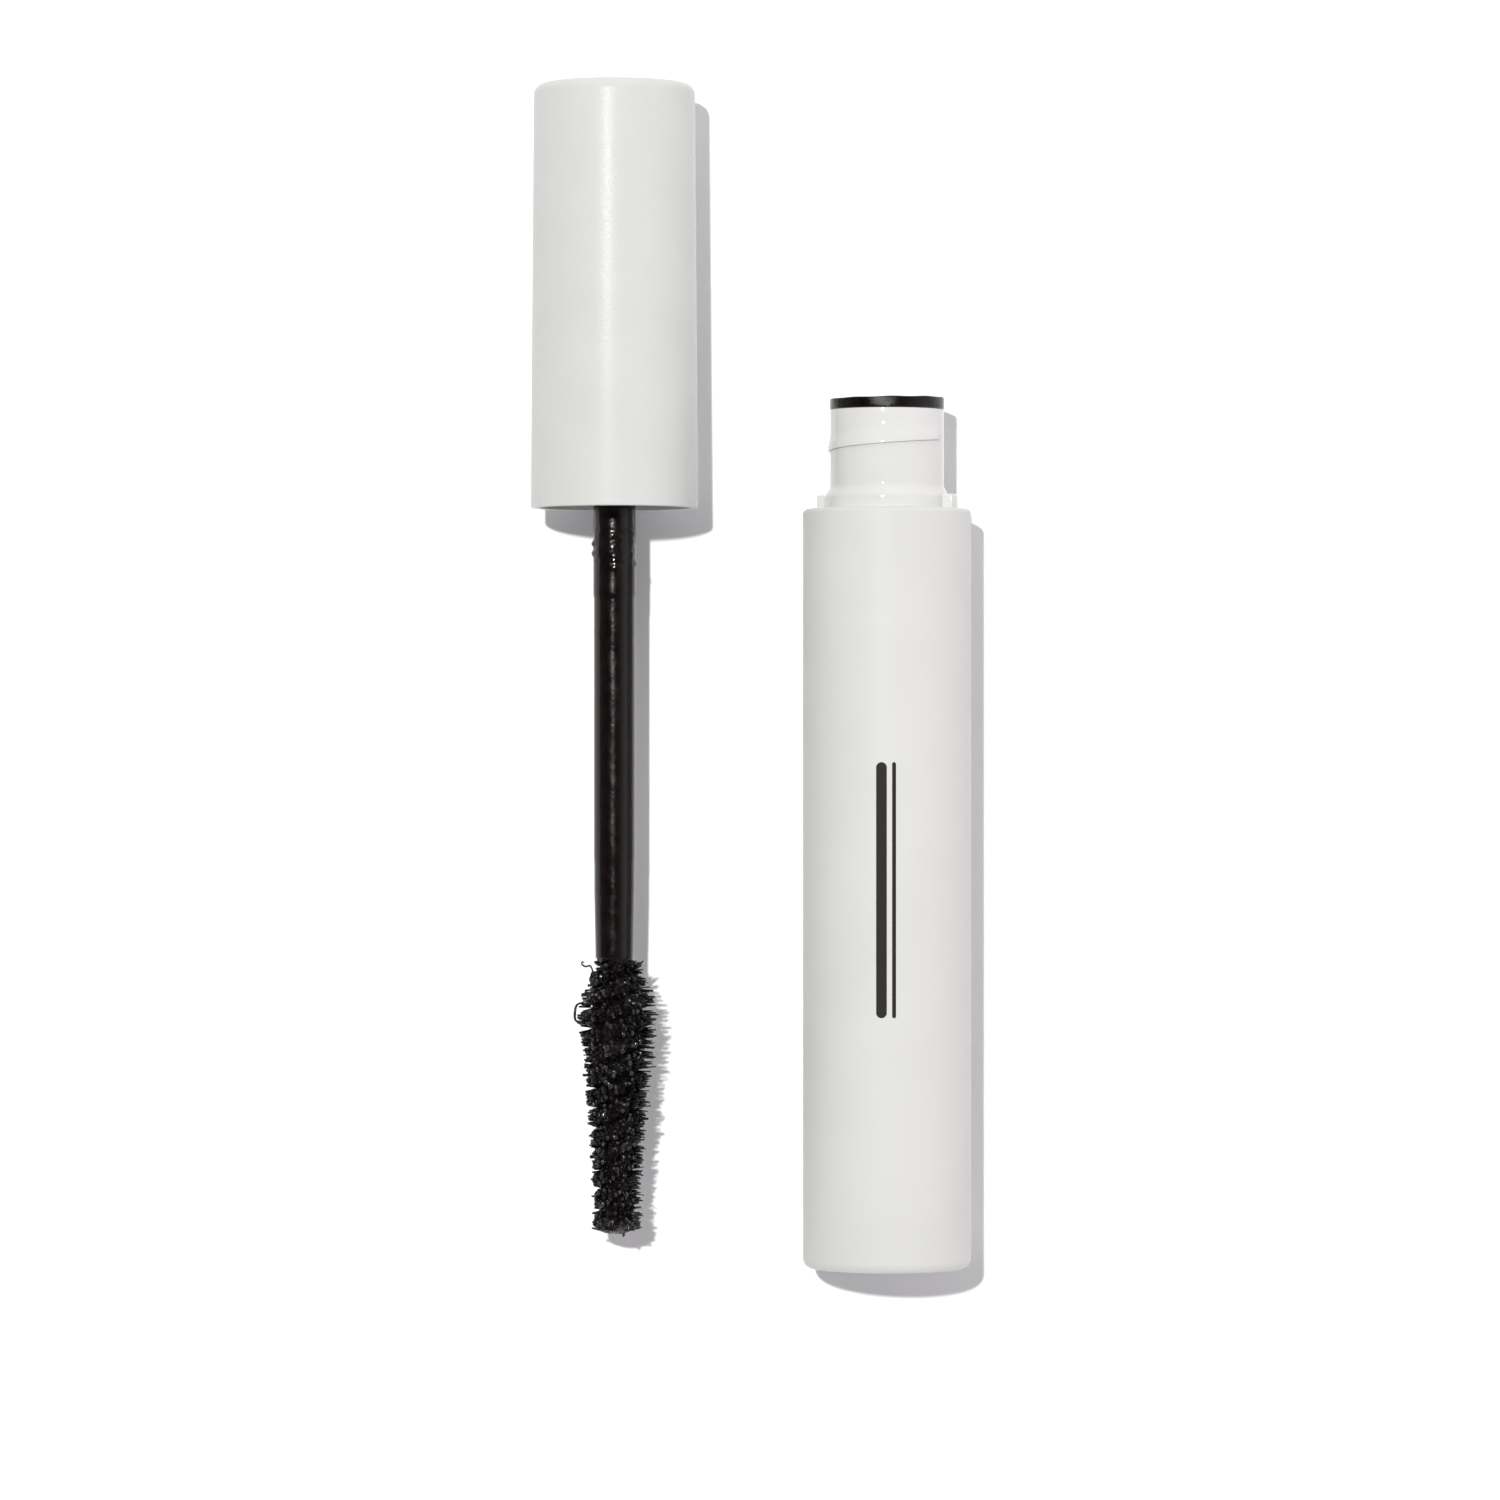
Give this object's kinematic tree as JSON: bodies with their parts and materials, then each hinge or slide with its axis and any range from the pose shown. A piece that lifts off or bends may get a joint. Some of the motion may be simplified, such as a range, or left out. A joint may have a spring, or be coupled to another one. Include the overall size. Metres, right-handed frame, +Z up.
{
  "type": "mascara tube",
  "caption": "Opened mascara: a round tube with a threaded neck and wiper, and beside it the wand, a long cap with a stem and a twisted-wire brush.",
  "frame": {"origin": "centre of the bounding box's underside: on the surface that the tube and the wand lie on, midway between the tube's base and the cap's top and between their outer sides", "axes": "+Y along both axes, from the tube's base toward its mouth and from the brush toward the cap's top; +X from the wand toward the tube; +Z up, away from the surface"},
  "size_m": [0.0458, 0.1234, 0.0175],
  "materials": {
    "cap_plastic": "fine matt with a slight pearl",
    "sleeve_plastic": "satin",
    "vial_plastic": "natural gloss",
    "inner_plastic": "moulded",
    "stem_plastic": "gloss, filmed with product",
    "wiper_plastic": "gloss, filmed with product",
    "mascara": "wet paste",
    "bristle": "fibre loaded with product",
    "wire": "drawn wire"
  },
  "bodies": {
    "paste": {"product": "mascara"},
    "tube": {"sleeve": "sleeve_plastic", "vial": "vial_plastic", "wiper": "wiper_plastic"},
    "wand": {"overcap": "cap_plastic", "inner_cap": "inner_plastic", "stem": "stem_plastic", "brush_wire": "wire", "bristle_row_01": "bristle", "bristle_row_02": "bristle", "bristle_row_03": "bristle", "bristle_row_04": "bristle", "bristle_row_05": "bristle", "bristle_row_06": "bristle", "bristle_row_07": "bristle", "bristle_row_08": "bristle", "bristle_row_09": "bristle", "bristle_row_10": "bristle", "bristle_row_11": "bristle", "bristle_row_12": "bristle", "bristle_row_13": "bristle", "bristle_row_14": "bristle", "bristle_row_15": "bristle", "bristle_row_16": "bristle", "bristle_row_17": "bristle", "bristle_row_18": "bristle"}
  },
  "joints": [
    {"name": "tube_turn", "type": "hinge", "parent": "paste", "child": "tube", "pos_m": [0.01418, 0, 0.00875], "axis": [0, 1, 0], "continuous": true},
    {"name": "wand_carry", "type": "slide", "parent": "paste", "child": "wand", "axis": [0.1988, 0.98, 0], "range_m": [0, 0.14285]}
  ]
}
